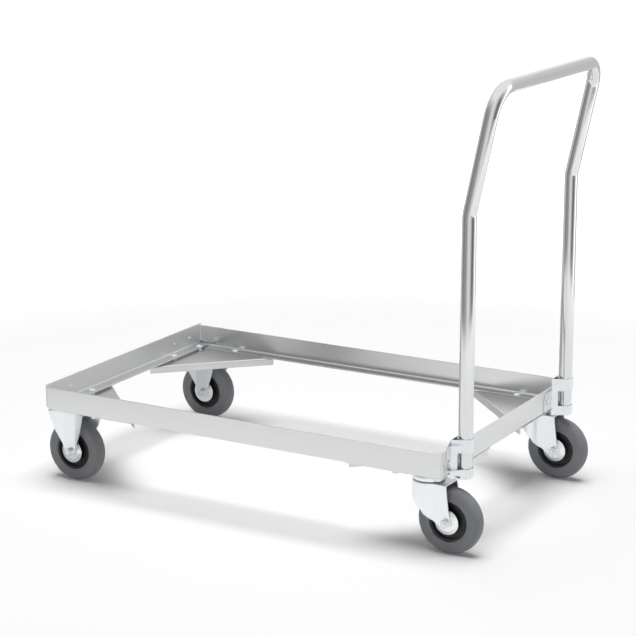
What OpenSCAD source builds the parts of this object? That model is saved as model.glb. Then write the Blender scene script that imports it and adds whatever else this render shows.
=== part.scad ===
// Platform dolly: open angle-steel frame on two fixed and two swivel castors,
// with a bent tube handle that plugs into two sockets on the rear rail.
// The front points to -X, the handle end to +X, the left side to -Y, and the
// floor is z = 0. The origin is the middle of the whole dolly on the floor.

/* [Frame] */
// Outside length of the frame
frame_l = 920; // [700:10:1200]
// Outside width of the frame
frame_w = 590; // [480:10:800]
// Height of the upright wall of each rail
rail_h = 46.5; // [42:0.5:60]
// Width of the rail flange that points inwards
rail_flange = 30; // [28:0.5:31]
// Thickness of the rail steel
rail_t = 3; // [2.5:0.25:3.5]
// Radius inside the root of the rail section
rail_root = 3; // [2:0.25:3]
// Radius on the inner edges of the rail section
rail_toe = 1; // [0.5:0.25:1.5]
// Height of the underside of the side rails above the top of the wheels
rail_rise = 26.5; // [26:0.5:45]
// Height of the end rails above the side rails
end_rise = 4.5; // [4:0.25:7]
// Leg of the weld bead in each frame corner
weld_leg = 4; // [3:0.5:6]

/* [Gussets] */
// Thickness of the gusset sheet
gusset_t = 3; // [2:0.25:4]
// Reach of the gussets along the side rails, from the frame's ends
gusset_leg = 210; // [190:5:230]
// Distance of the diagonal from the frame's side where that reach ends
gusset_tip = 20; // [18:1:30]
// Reach of the gussets along the end rails beyond their reach along the side rails
gusset_extra = 10; // [0:1:12]
// Distance of the gusset edges from the frame's outer faces
gusset_inset = 4; // [2:0.5:5]
// Height of the turned-down edge along the diagonal
gusset_drop = 16; // [10:1:17]
// Inside radius of the turned-down edge
gusset_bend = 1.5; // [1:0.25:3]

/* [Frame bolts] */
// Diameter of the frame bolts
bolt_d = 8; // [6:0.5:9]
// Diameter of the domed bolt heads
bolt_head_d = 19; // [16:0.5:19.5]
// Height of the domed bolt heads
bolt_head_h = 4.5; // [3:0.25:6]
// Clearance between a bolt and the side of its hole
bolt_gap = 0.4; // [0.2:0.05:0.5]
// Width of the frame nuts across their flats
nut_af = 13; // [11:0.5:14]
// Thickness of the frame nuts
nut_h = 6.5; // [5:0.25:7]
// Length of bolt that shows below a nut
bolt_tail = 1.5; // [0.5:0.25:2.5]
// Distance of the side rail bolts from the frame's ends
side_bolt_x = 107; // [95:1:150]
// Distance of the side rail bolts from the frame's sides
side_bolt_y = 18; // [16.5:0.5:19]
// Distance of the end rail bolts from the frame's ends
end_bolt_x = 17; // [16.5:0.5:19]
// Distance of the end rail bolts from the frame's sides
end_bolt_y = 137; // [115:1:160]
// Distance of the corner bolts from the rear end of the frame
rear_bolt_x = 16; // [16:0.25:18]
// Distance of the rear corner bolts from the frame's sides
rear_bolt_y = 14; // [13:0.25:14.5]
// Distance of the corner bolts from the front end of the frame
front_bolt_x = 22; // [19:0.5:23]
// Distance of the front corner bolts from the frame's sides
front_bolt_y = 39; // [39:0.5:46]
// Outer diameter of the spacer rings under the end rails
spacer_d = 15; // [12:0.5:16]

/* [Accessory holes] */
// Diameter of the spare holes in the front rail
spare_hole_d = 6.5; // [5:0.25:9]
// Distance between the two holes of a pair
spare_pitch = 62; // [50:1:80]
// First hole of the left pair, from the left side
spare_left = 23; // [20:1:40]
// First hole of the right pair, from the right side
spare_right = 49; // [30:1:60]
// Height of the holes in the end rails above the side rails' underside
wall_hole_z = 27.5; // [24:0.5:30]

/* [Handle] */
// Outer diameter of the handle tube
tube_d = 28; // [25:0.5:30]
// Wall of the handle tube
tube_t = 1.5; // [1:0.25:3]
// Distance of the handle legs from the rear rail's outer face
tube_out = 19.5; // [19:0.5:26]
// Distance of the handle legs from the frame's sides
tube_in = 58; // [54:1:70]
// Height at which the legs start to bend
bend_z = 645; // [500:0.5:700]
// Straight length of the upper legs, up to the grip corners
upper_leg_l = 180; // [120:1:300]
// Slant of the handle above the bend, in degrees
handle_slant = 12; // [6:0.5:15]
// Radius of the bend in the legs, to the tube's middle
bend_r = 80; // [60:5:120]
// Radius of the two grip corners, to the tube's middle
corner_r = 52; // [40:1:80]

/* [Handle sockets] */
// Thickness of the socket sheet
socket_t = 2; // [1.5:0.25:2.5]
// Clearance between the handle tube and the inside of a collar
tube_gap = 0.1; // [0.05:0.01:0.1]
// Height of the upper collar
collar_top_h = 26; // [18:1:30]
// Height of the lower collar
collar_low_h = 20; // [16:1:24]
// Top of the sockets above the side rails' underside
socket_top = 69; // [64:1:80]
// Bottom of the sockets below the side rails' underside
socket_drop = 9; // [6:0.5:10]
// Reach of a socket plate from the tube towards the frame's side
plate_out = 42; // [41:0.5:48]
// Reach of a socket plate from the tube towards the middle
plate_in = 64; // [60:1:75]
// Distance from the tube's middle to where the straps leave the plate
strap_root = 27; // [25:0.5:28]
// Reach of the strap cheeks beside the window, from the rail
cheek_reach = 13; // [9:0.5:14]
// Top of the plate's inner wing above the side rails' underside
wing_top = 46; // [42:1:50]
// Radius of the wing's upper corner
wing_r = 17; // [8:1:19]
// Distance from the tube's middle to the outer socket screws
screw_out = 35; // [34:0.5:36]
// Distance from the tube's middle to the inner socket screws
screw_in = 49; // [45:0.5:54]
// Diameter of the socket screws
screw_d = 6; // [5:0.5:6.5]
// Diameter of the socket screws' heads
screw_head_d = 11; // [9:0.5:12]
// Height of the socket screws' heads
screw_head_h = 3; // [2:0.25:4]
// Width of the socket nuts across their flats
screw_nut_af = 10; // [8:0.5:11]
// Thickness of the socket nuts
screw_nut_h = 5; // [3:0.25:6]

/* [Wheels] */
// Diameter of the wheels
wheel_d = 131; // [115:1:140]
// Width of the tyres
tyre_w = 32; // [30:0.5:36]
// Thickness of the tyres, from the rim to the tread
tyre_t = 26; // [24:0.5:28]
// Radius of the tyre's shoulders
shoulder_r = 10; // [6:0.5:11]
// Width of the rims at the tyre
rim_w = 28; // [24:1:30]
// Width of the rims' web
web_w = 20; // [10:1:24]
// Diameter of the rims' hub
hub_d = 33; // [28:1:36]

/* [Forks] */
// Distance of the castor middles from the frame's ends
castor_x = 47; // [46:0.5:52]
// Distance of the castor middles from the frame's sides
castor_y = 41; // [40:0.5:46]
// Thickness of the fork sheet
fork_t = 3; // [2.5:0.25:3.25]
// Inside width of the forks
fork_gap = 46; // [44:0.5:47]
// Distance from a swivel axis back to the wheel axle
trail = 47; // [40:0.5:48]
// Radius of the swivel fork's round head
head_r = 33; // [32:0.25:34]
// Distance of the swivel forks' top below the gussets
head_drop = 14; // [14:0.25:15]
// Height of the upright front of the swivel fork's head
brow_h = 17.5; // [14:0.5:22]
// Radius below the front of the swivel fork's head
chin_r = 26; // [20:0.5:30]
// Rear edge of the swivel fork's top, behind the axle
heel_top = 0; // [0:0.5:6]
// Rear edge of the swivel fork's legs at the thread guards, behind the axle
heel_low = 8; // [6:0.5:10]
// Height above the axle at which the legs' rear edge starts to flare
heel_h = 15.5; // [14:0.5:24]
// Radius of the arch in the front of the swivel forks
arch_r = 17; // [12:0.5:20]
// Height of metal above the arch's crown, with the top
arch_top = 7; // [5:0.5:10]
// Radius of the lower end of the fork legs
leg_end_r = 13; // [12:0.5:15]
// Half width of the fixed forks at the top
fixed_half_w = 43; // [40:0.5:45]
// Half width of the fixed forks' legs below the top
fixed_upper_w = 38; // [36:0.5:40]
// Height above the axle of that half width
fixed_upper_h = 70; // [60:1:76]
// Half width of the fixed forks' legs at mid height
fixed_mid_w = 32; // [26:0.5:36]
// Height above the axle of that half width
fixed_mid_h = 48; // [40:1:52]
// Half width of the fixed forks' legs at the thread guards
fixed_foot_w = 18; // [16:0.5:20]
// Height above the axle of that half width
fixed_foot_h = 17; // [16:0.5:24]
// Half width of the flat strip down the middle of the fixed forks' legs
strip_half_w = 14; // [14:0.5:17]
// Angle at which the legs' wings beside the strip stand away from the wheel
wing_slant = 26.5; // [10:0.5:27]

/* [Castor bearings] */
// Diameter of the axle bolts
axle_d = 10; // [8:0.5:12]
// Outer diameter of the axle tubes
axle_tube_d = 15; // [14.5:0.25:16]
// Diameter of the bearing rollers
roller_d = 3.4; // [2.5:0.1:3.8]
// Rollers in one wheel bearing
rollers = 10; // [8:1:12]
// Running clearance on axle tubes, rollers and kingpins
run_gap = 0.05; // [0.02:0.01:0.09]
// Thickness of the thread guards
guard_t = 1.5; // [1:0.25:2]
// Diameter of the thread guards
guard_d = 49; // [44:1:52]
// Width across the flats of the axle bolts and nuts
axle_af = 16; // [14:0.5:17]
// Thickness of the axle bolts' heads and nuts
axle_nut_h = 7; // [5:0.5:8]
// Diameter of the kingpins
kingpin_d = 16; // [12:0.5:18]
// Diameter of the balls in the swivel heads
ball_d = 6.4; // [6:0.1:6.6]
// Balls in one ball race
balls = 14; // [10:1:16]
// Radius of the ball races
race_r = 22; // [20:0.5:22.5]
// Outer radius of the swivel bowls
bowl_r = 32; // [31:0.25:32.5]

/* [Hidden] */
$fn = 64;

zinc = [0.80, 0.82, 0.84];
galvanised = [0.74, 0.75, 0.76];
bright_steel = [0.86, 0.87, 0.88];
rubber_grey = [0.40, 0.41, 0.43];
rim_black = [0.07, 0.07, 0.08];

// Overlap of cutting shapes with the faces that they cut
cut = 1;

// Heights, from the axle up
axle_z = wheel_d / 2;
rail_z = wheel_d + rail_rise;
gusset_z = rail_z - gusset_t;
fork_top_z = gusset_z - head_drop;
end_z = rail_z + end_rise;
wall_z = rail_z + wall_hole_z;

// The frame is moved so that the whole dolly is centred on x = 0, to a round tenth
tenth = 0.1;
grip_out = tube_out + bend_r * (1 - cos(handle_slant)) + (upper_leg_l + corner_r) * sin(handle_slant);
front_reach = frame_l / 2 + max(0, wheel_d / 2 - castor_x);
rear_reach = frame_l / 2 + max(grip_out + tube_d / 2, wheel_d / 2 - castor_x + trail);
frame_x = tenth * round((front_reach - rear_reach) / 2 / tenth);

// Corners as [end, side]: -1 is front or left, 1 is rear or right
corners = [[-1, -1], [-1, 1], [1, -1], [1, 1]];
function end_x(s) = frame_x + s * frame_l / 2;
function side_y(t) = t * frame_w / 2;

// Bolts of a corner, from the frame's end and side: corner, side rail, end rail
function corner_bolt(s) = s < 0 ? [front_bolt_x, front_bolt_y] : [rear_bolt_x, rear_bolt_y];
side_bolt = [side_bolt_x, side_bolt_y];
end_bolt = [end_bolt_x, end_bolt_y];

// Swivel head, from the fork's top up and from its ceiling down
bowl_ceiling = fork_top_z + ball_d + 2 * run_gap;
bowl_round = 6;
bowl_wall = 3;
bowl_gap = 2.2;
bowl_rim_z = fork_top_z + bowl_gap;
cup_top_z = fork_top_z - fork_t - ball_d - 2 * run_gap;
cup_t = 2;
cup_edge = 0.8;
cup_r = race_r + ball_d / 2 + cup_edge;

// Rim and hub, from the wheel's middle out
rim_r = wheel_d / 2 - tyre_t;
hub_gap = 0.5;
fork_half = fork_gap / 2;
tube_half = fork_half - guard_t;
hub_half = tube_half - hub_gap;
bore_r = axle_tube_d / 2 + roller_d + 2 * run_gap;
roller_r = axle_tube_d / 2 + run_gap + roller_d / 2;

// Depth to which straight fork edges run into the round ends that they touch
eye_sink = 0.3;

// Point at which a line from p touches a circle of radius r round the origin
function tangent_angle(p, r, side) = atan2(p[1], p[0]) + side * acos(r / norm(p));
function tangent_point(p, r, side) = r * [cos(tangent_angle(p, r, side)), sin(tangent_angle(p, r, side))];

// Draws for the front left corner, with +X and +Y into the frame
module at_corner(c) {
    translate([end_x(c[0]), side_y(c[1]), 0])
        mirror([c[0] > 0 ? 1 : 0, 0, 0])
            mirror([0, c[1] > 0 ? 1 : 0, 0])
                children();
}

// Draws with the tube's middle at the origin, +X away from the rear rail's
// outer face and +Y towards the frame's side
module at_socket(t) {
    translate([end_x(1), side_y(t) - t * tube_in, 0])
        mirror([0, t < 0 ? 1 : 0, 0])
            children();
}

// Draws with the castor's middle at the origin and the wheel's plane on y = 0
module at_castor(c) {
    translate([end_x(c[0]) - c[0] * castor_x, side_y(c[1]) - c[1] * castor_y, 0])
        children();
}

// Draws with the wheel's middle at the origin
module at_wheel(c) {
    at_castor(c)
        translate([c[0] > 0 ? trail : 0, 0, axle_z])
            children();
}

// A shape turned about the wheel's axis
module lathe_y() {
    rotate([90, 0, 0])
        rotate_extrude()
            children();
}

module hexagon(af) {
    circle(d = af / cos(30), $fn = 6);
}

// The corner of a square between a rounding and its sharp edge
module fillet_corner(r) {
    difference() {
        square(r);
        translate([r, r]) circle(r);
    }
}

// Rail section: the wall stands up at the left, the flange points to +X
module rail_section() {
    difference() {
        union() {
            square([rail_t, rail_h]);
            square([rail_flange, rail_t]);
            translate([rail_t, rail_t]) fillet_corner(rail_root);
        }
        translate([rail_t, rail_h]) rotate(180) fillet_corner(rail_toe);
        translate([rail_flange, rail_t]) rotate(180) fillet_corner(rail_toe);
    }
}

// Holes of the frame bolts, from below the gussets to above the flanges
module frame_bolt_holes() {
    for (c = corners)
        at_corner(c)
            for (p = [corner_bolt(c[0]), side_bolt, end_bolt])
                translate([p[0], p[1], gusset_z - fork_t - cut])
                    cylinder(d = bolt_d + 2 * bolt_gap, h = end_z + rail_t - gusset_z + fork_t + 2 * cut);
}

module side_rail(t) {
    color(galvanised)
        difference() {
            translate([end_x(-1) + rail_t, side_y(t), rail_z])
                mirror([0, t > 0 ? 1 : 0, 0])
                    rotate([90, 0, 90])
                        linear_extrude(frame_l - 2 * rail_t)
                            rail_section();
            frame_bolt_holes();
        }
}

// An end rail's wall runs the frame's full width, its flange fits between the side rails
module end_rail(s) {
    notch = rail_t + rail_root;
    color(galvanised)
        difference() {
            translate([end_x(s), frame_w / 2, end_z])
                mirror([s > 0 ? 1 : 0, 0, 0])
                    rotate([90, 0, 0])
                        linear_extrude(frame_w)
                            rail_section();
            for (t = [-1, 1])
                at_corner([s, t])
                    translate([rail_t, -cut, end_z - cut])
                        cube([rail_flange, notch + cut, rail_h + 2 * cut]);
            frame_bolt_holes();
            if (s < 0) spare_holes();
            if (s > 0) socket_screw_holes();
        }
}

// Pairs of spare holes in the front rail, not mirrored from side to side
module spare_holes() {
    for (y = [spare_left, spare_left + spare_pitch])
        at_corner([-1, -1]) wall_hole(y, spare_hole_d);
    for (y = [spare_right, spare_right + spare_pitch])
        at_corner([-1, 1]) wall_hole(y, spare_hole_d);
}

module wall_hole(y, d) {
    translate([-cut, y, wall_z])
        rotate([0, 90, 0])
            cylinder(d = d, h = rail_t + 2 * cut);
}

module corner_welds() {
    bead_z = end_z + rail_t + rail_root;
    bead_top = rail_z + rail_h;
    color(galvanised)
        for (c = corners)
            at_corner(c)
                translate([rail_t, rail_t, bead_z])
                    linear_extrude(bead_top - bead_z)
                        intersection() {
                            square(weld_leg);
                            circle(weld_leg);
                        }
}

// Triangular sheet under the rails' flanges, with its diagonal edge turned down
module gusset(c) {
    flat = gusset_t + gusset_bend;
    end_leg = gusset_leg + gusset_extra;
    end_tip = gusset_tip - gusset_extra;
    middle = [gusset_leg + end_tip, gusset_tip + end_leg] / 2;
    diagonal = (gusset_leg - end_tip) * sqrt(2);
    i = gusset_inset;
    color(galvanised)
        difference() {
            at_corner(c)
                translate([0, 0, gusset_z]) {
                    difference() {
                        linear_extrude(gusset_t)
                            polygon([[i, i], [gusset_leg, i], [gusset_leg, gusset_tip],
                                     [end_tip, end_leg], [i, end_leg]]);
                        translate([middle[0], middle[1], -cut])
                            rotate(45)
                                translate([-flat, -end_leg, 0])
                                    cube([end_leg, 2 * end_leg, gusset_t + 2 * cut]);
                    }
                    translate(middle)
                        rotate([90, 0, 45])
                            linear_extrude(diagonal, center = true)
                                gusset_edge();
                }
            frame_bolt_holes();
            if (c[0] > 0)
                at_castor(c)
                    translate([0, 0, gusset_z - cut])
                        cylinder(d = kingpin_d, h = gusset_t + 2 * cut);
        }
}

// Section of the turned-down edge, with its outer face on x = 0
module gusset_edge() {
    flat = gusset_t + gusset_bend;
    translate([-gusset_t, gusset_t - gusset_drop])
        square([gusset_t, gusset_drop - flat]);
    translate([-flat, -gusset_bend])
        difference() {
            intersection() {
                circle(flat);
                square(flat);
            }
            circle(gusset_bend);
        }
}

// Domed bolts, head on top of the flange, through to below the nut
module frame_bolt(head_z, nut_z) {
    dome_r = (pow(bolt_head_d / 2, 2) + pow(bolt_head_h, 2)) / (2 * bolt_head_h);
    intersection() {
        translate([0, 0, head_z + bolt_head_h - dome_r]) sphere(dome_r);
        translate([0, 0, head_z]) cylinder(d = bolt_head_d, h = bolt_head_h);
    }
    translate([0, 0, nut_z - nut_h - bolt_tail])
        cylinder(d = bolt_d, h = head_z - nut_z + nut_h + bolt_tail);
}

// Underside that a frame nut seats on: the fixed forks' top plate or the gusset
function corner_nut_z(s) = s < 0 ? gusset_z - fork_t : gusset_z;

module frame_bolts() {
    color(bright_steel)
        for (c = corners)
            at_corner(c) {
                translate(corner_bolt(c[0])) frame_bolt(end_z + rail_t, corner_nut_z(c[0]));
                translate(side_bolt) frame_bolt(rail_z + rail_t, gusset_z);
                translate(end_bolt) frame_bolt(end_z + rail_t, gusset_z);
            }
}

module nut(af, d, h) {
    linear_extrude(h)
        difference() {
            hexagon(af);
            circle(d = d);
        }
}

module frame_nuts() {
    color(bright_steel)
        for (c = corners)
            at_corner(c) {
                translate([corner_bolt(c[0])[0], corner_bolt(c[0])[1], corner_nut_z(c[0]) - nut_h])
                    nut(nut_af, bolt_d, nut_h);
                for (p = [side_bolt, end_bolt])
                    translate([p[0], p[1], gusset_z - nut_h])
                        nut(nut_af, bolt_d, nut_h);
            }
}

// Rings that fill the step between the end rails and what lies under them
module flange_spacers() {
    hole_d = bolt_d + 2 * bolt_gap;
    color(bright_steel)
        for (c = corners)
            at_corner(c) {
                base = c[0] < 0 ? rail_z : rail_z + rail_t;
                translate([corner_bolt(c[0])[0], corner_bolt(c[0])[1], base])
                    ring(spacer_d, hole_d, end_z - base);
                translate([end_bolt[0], end_bolt[1], rail_z])
                    ring(spacer_d, hole_d, end_rise);
            }
}

module ring(outer, inner, h) {
    linear_extrude(h)
        difference() {
            circle(d = outer);
            circle(d = inner);
        }
}

// Sizes of the handle sockets
collar_r = tube_d / 2 + tube_gap;
socket_z = rail_z - socket_drop;
socket_top_z = rail_z + socket_top;
floor_t = socket_t;
// Height of the socket plate's outer corner above the end rail
plate_rise = 9;
plate_corner_z = end_z + rail_h + plate_rise;
// Direction square to the strap that touches the collar's outside
strap_a = tangent_angle([socket_t - tube_out, strap_root], collar_r + socket_t, -1);
strap_n = [cos(strap_a), sin(strap_a)];

// Pressed socket: a plate on the rear rail, straps and two collars round the tube
module handle_socket(t) {
    window_z = socket_z + collar_low_h;
    window_h = socket_top_z - collar_top_h - window_z;
    lip_z = plate_corner_z - socket_t;
    color(zinc)
        difference() {
            at_socket(t)
                difference() {
                    union() {
                        rotate([90, 0, 90]) linear_extrude(socket_t) socket_plate();
                        translate([0, 0, socket_z])
                            linear_extrude(socket_top_z - socket_z) strap();
                        translate([0, 0, socket_z]) linear_extrude(floor_t) socket_floor();
                        for (z = [lip_z, window_z - socket_t])
                            translate([0, 0, z]) linear_extrude(socket_t) lip();
                    }
                    translate([cheek_reach, -strap_root, window_z])
                        cube([2 * tube_out, 2 * strap_root, window_h]);
                    translate([socket_t, -strap_root / 2, window_z])
                        cube([cheek_reach, strap_root, window_h]);
                    drain_slot();
                }
            socket_screw_holes();
        }
}

// Plate on the rail, drawn with x towards the frame's side and y up
module socket_plate() {
    foot_rise = 1;
    shoulder_drop = 2;
    foot_z = end_z + foot_rise;
    shoulder_z = socket_top_z - shoulder_drop;
    wing_z = rail_z + wing_top;
    translate([-strap_root, socket_z]) square([2 * strap_root, socket_top_z - socket_z]);
    polygon([[0, foot_z], [plate_out, foot_z], [plate_out, plate_corner_z],
             [strap_root, shoulder_z], [0, shoulder_z]]);
    translate([-plate_in, foot_z]) square([plate_in, wing_z - wing_r - foot_z]);
    translate([wing_r - plate_in, foot_z]) square([plate_in - wing_r, wing_z - foot_z]);
    translate([wing_r - plate_in, wing_z - wing_r]) circle(wing_r);
}

// Plan of the strap: straight from the plate to the collar and round the tube
module strap() {
    difference() {
        union() {
            translate([tube_out, 0]) circle(collar_r + socket_t);
            for (m = [0, 1]) mirror([0, m]) strap_leg();
        }
        translate([tube_out, 0]) circle(collar_r);
    }
}

module strap_leg() {
    root = [socket_t, strap_root];
    meet = [tube_out, 0] + (collar_r + socket_t) * strap_n;
    polygon([root, meet, meet - socket_t * strap_n, root - socket_t * strap_n]);
}

// Plan of the floor that the handle leg stands on
module socket_floor() {
    neck = 4;
    floor_half = collar_r - neck;
    translate([tube_out, 0]) circle(collar_r + socket_t);
    translate([0, -floor_half]) square([tube_out, 2 * floor_half]);
}

// Plan of a lip that stiffens the plate's outer edge
module lip() {
    polygon([[0, plate_out], [0, strap_root], [socket_t, strap_root] - socket_t * strap_n,
             [tube_out, 0] + (collar_r + socket_t / 2) * strap_n]);
}

// Slot through the outer strap leg just above the floor
module drain_slot() {
    slot_h = 3.5;
    slot_w = 10;
    slot_in = 8;
    slot_rise = 1;
    translate([socket_t, strap_root, socket_z + floor_t + slot_rise])
        rotate(strap_a - 90)
            translate([slot_in, -2 * socket_t, 0])
                cube([slot_w, 4 * socket_t, slot_h]);
}

module socket_screw_holes() {
    for (t = [-1, 1])
        at_socket(t)
            for (y = [screw_out, -screw_in])
                translate([-rail_t - cut, y, wall_z])
                    rotate([0, 90, 0])
                        cylinder(d = screw_d + 2 * bolt_gap, h = rail_t + socket_t + 2 * cut);
}

// Low domed screws, head outside the socket plate, nut inside the rail
module socket_screws() {
    dome_r = (pow(screw_head_d / 2, 2) + pow(screw_head_h, 2)) / (2 * screw_head_h);
    screw_tail = 1;
    tail = rail_t + screw_nut_h + screw_tail;
    color(bright_steel)
        for (t = [-1, 1])
            at_socket(t)
                for (y = [screw_out, -screw_in])
                    translate([socket_t, y, wall_z])
                        rotate([0, 90, 0]) {
                            intersection() {
                                translate([0, 0, screw_head_h - dome_r]) sphere(dome_r);
                                cylinder(d = screw_head_d, h = screw_head_h);
                            }
                            translate([0, 0, -tail - socket_t])
                                cylinder(d = screw_d, h = tail + socket_t);
                        }
}

module socket_nuts() {
    color(bright_steel)
        for (t = [-1, 1])
            at_socket(t)
                for (y = [screw_out, -screw_in])
                    translate([-rail_t - screw_nut_h, y, wall_z])
                        rotate([0, 90, 0])
                            nut(screw_nut_af, screw_d, screw_nut_h);
}

// Section of the handle tube
module tube_section() {
    difference() {
        circle(d = tube_d);
        circle(d = tube_d - 2 * tube_t);
    }
}

// One tube: two upright legs, a bend in each, and a slanted hoop with the grip bar
module handle() {
    leg_y = frame_w / 2 - tube_in;
    leg_h = bend_z - socket_z - floor_t;
    color(bright_steel)
        translate([end_x(1) + tube_out, 0, bend_z]) {
            for (t = [-1, 1])
                translate([0, t * leg_y, 0]) {
                    translate([0, 0, -leg_h]) linear_extrude(leg_h) tube_section();
                    translate([bend_r, 0, 0])
                        rotate([90, 0, 0])
                            rotate([0, 0, 180 - handle_slant])
                                tube_bend(bend_r, handle_slant);
                }
            translate([bend_r, 0, 0])
                rotate([0, handle_slant, 0])
                    translate([-bend_r, 0, 0]) handle_hoop(leg_y);
        }
}

// The slanted part of the handle, drawn upright on the bends
module handle_hoop(leg_y) {
    for (t = [-1, 1])
        translate([0, t * leg_y, 0]) {
            linear_extrude(upper_leg_l) tube_section();
            translate([0, -t * corner_r, upper_leg_l])
                rotate([90, 0, 90])
                    rotate([0, 0, t > 0 ? 0 : 90])
                        tube_bend(corner_r, 90);
        }
    translate([0, leg_y - corner_r, upper_leg_l + corner_r])
        rotate([90, 0, 0])
            linear_extrude(2 * (leg_y - corner_r)) tube_section();
}

module tube_bend(r, angle) {
    rotate_extrude(angle = angle)
        translate([r, 0]) tube_section();
}

// Outline of a fixed fork's leg, with the axle at the origin and y up
module fixed_leg_outline() {
    top = gusset_z - axle_z;
    foot = tangent_point([fixed_foot_w, fixed_foot_h], leg_end_r - eye_sink, -1);
    circle(leg_end_r);
    polygon([foot, [fixed_foot_w, fixed_foot_h], [fixed_mid_w, fixed_mid_h],
             [fixed_upper_w, fixed_upper_h], [fixed_half_w, top],
             [-fixed_half_w, top], [-fixed_upper_w, fixed_upper_h],
             [-fixed_mid_w, fixed_mid_h], [-fixed_foot_w, fixed_foot_h], [-foot[0], foot[1]]]);
}

// Plan of a fixed fork: straight over the flat strips, and spreading beside them
module fixed_plan(w, strip, half) {
    tip = half + (w - strip) * tan(wing_slant);
    polygon([[w, -tip], [w, tip], [strip, half], [-strip, half],
             [-w, tip], [-w, -tip], [-strip, -half], [strip, -half]]);
}

// Fixed fork: one sheet bent to a top and two legs. A flat strip runs down each leg to
// the axle, and the wings beside it stand away from the wheel.
module fixed_fork(c) {
    top = gusset_z - axle_z;
    inner_strip = strip_half_w + fork_t * tan(wing_slant / 2);
    color(zinc)
        difference() {
            at_wheel(c)
                difference() {
                    intersection() {
                        rotate([90, 0, 0])
                            linear_extrude(4 * fixed_half_w, center = true) fixed_leg_outline();
                        translate([0, 0, -leg_end_r - cut])
                            linear_extrude(leg_end_r + cut + top)
                                fixed_plan(fixed_half_w + cut, strip_half_w, fork_half + fork_t);
                    }
                    translate([0, 0, -leg_end_r - 2 * cut])
                        linear_extrude(leg_end_r + 2 * cut + top - fork_t)
                            fixed_plan(fixed_half_w + 2 * cut, inner_strip, fork_half);
                    axle_hole();
                }
            frame_bolt_holes();
        }
}

module axle_hole() {
    rotate([90, 0, 0])
        cylinder(d = axle_d, h = 2 * (fork_half + fork_t + cut), center = true);
}

// Side view of the swivel fork, with the axle at the origin and y up
module swivel_side() {
    top = fork_top_z - axle_z;
    front = -trail - head_r;
    chin = [front + chin_r, top - brow_h];
    // Direction square to the straight edge that touches the chin and the eye
    edge_a = atan2(chin[1], chin[0]) + acos((leg_end_r - chin_r) / norm(chin));
    edge_n = [cos(edge_a), sin(edge_a)];
    circle(leg_end_r);
    translate(chin) circle(chin_r);
    polygon([[front, chin[1]], chin, chin + (chin_r - eye_sink) * edge_n,
             (leg_end_r - eye_sink) * edge_n,
             tangent_point([heel_low, heel_h], leg_end_r - eye_sink, -1),
             [heel_low, heel_h], [heel_top, top], [front, top]]);
}

// Plan of the swivel fork, made smaller by d: a round head and two straight sides
module swivel_plan(d, rear) {
    circle(head_r - d);
    translate([0, -fork_half - fork_t + d]) square([rear, 2 * (fork_half + fork_t - d)]);
}

// Swivel fork: round head over the kingpin, legs trailing to the axle
module swivel_fork(c) {
    arch_z = fork_top_z - arch_top - arch_r;
    color(zinc)
        at_castor(c)
            difference() {
                intersection() {
                    translate([trail, 0, axle_z])
                        rotate([90, 0, 0])
                            linear_extrude(4 * head_r, center = true) swivel_side();
                    linear_extrude(fork_top_z) swivel_plan(0, trail + leg_end_r + cut);
                }
                translate([0, 0, -cut])
                    linear_extrude(fork_top_z - fork_t + cut)
                        swivel_plan(fork_t, trail + 2 * leg_end_r);
                translate([-2 * head_r, 0, arch_z])
                    rotate([0, 90, 0]) cylinder(r = arch_r, h = 2 * head_r);
                translate([-2 * head_r, -arch_r, 0])
                    cube([2 * head_r, 2 * arch_r, arch_z]);
                translate([0, 0, fork_top_z - fork_t - cut])
                    cylinder(d = kingpin_d + 2 * run_gap, h = fork_t + 2 * cut);
                translate([trail, 0, axle_z]) axle_hole();
            }
}

// Bowl over the upper ball race, welded under the gusset
module bowl(c) {
    color(zinc)
        at_castor(c)
            difference() {
                rotate_extrude() {
                    translate([0, bowl_rim_z]) square([bowl_r, gusset_z - bowl_round - bowl_rim_z]);
                    translate([0, bowl_rim_z]) square([bowl_r - bowl_round, gusset_z - bowl_rim_z]);
                    intersection() {
                        translate([bowl_r - bowl_round, gusset_z - bowl_round]) circle(bowl_round);
                        square([bowl_r, gusset_z]);
                    }
                }
                translate([0, 0, bowl_rim_z - cut])
                    cylinder(r = bowl_r - bowl_wall, h = bowl_ceiling - bowl_rim_z + cut);
                cylinder(d = kingpin_d, h = gusset_z + cut);
            }
}

// Kingpin riveted over the gusset, with the cup of the lower ball race
module kingpin(c) {
    head_h = 3;
    head_rim = 3.5;
    head_d = kingpin_d + 2 * head_rim;
    nose = 2.5;
    nose_z = cup_top_z - cup_t - nose;
    color(bright_steel)
        at_castor(c) {
            translate([0, 0, nose_z]) cylinder(d = kingpin_d, h = rail_z - nose_z);
            translate([0, 0, cup_top_z - cup_t]) cylinder(r = cup_r, h = cup_t);
            translate([0, 0, rail_z]) cylinder(d1 = head_d, d2 = kingpin_d, h = head_h);
        }
}

// Two rings of balls, above and below the fork's head
module ball_races(c) {
    color(bright_steel)
        at_castor(c)
            for (z = [bowl_ceiling - run_gap, fork_top_z - fork_t - run_gap], i = [0 : balls - 1])
                rotate(i * 360 / balls)
                    translate([race_r, 0, z - ball_d / 2])
                        sphere(d = ball_d, $fn = 24);
}

module tyre(c) {
    flank = tyre_w / 2;
    r = wheel_d / 2;
    foot = 2;
    color(rubber_grey)
        at_wheel(c)
            lathe_y() {
                translate([rim_r, -flank + foot]) square([2 * foot, tyre_w - 2 * foot]);
                translate([rim_r + foot, -flank]) square([tyre_t - shoulder_r - foot, tyre_w]);
                translate([rim_r, shoulder_r - flank]) square([tyre_t, tyre_w - 2 * shoulder_r]);
                for (k = [-1, 1]) {
                    translate([r - shoulder_r, k * (flank - shoulder_r)]) circle(shoulder_r);
                    translate([rim_r + foot, k * (flank - foot)]) circle(foot);
                }
            }
}

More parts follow.
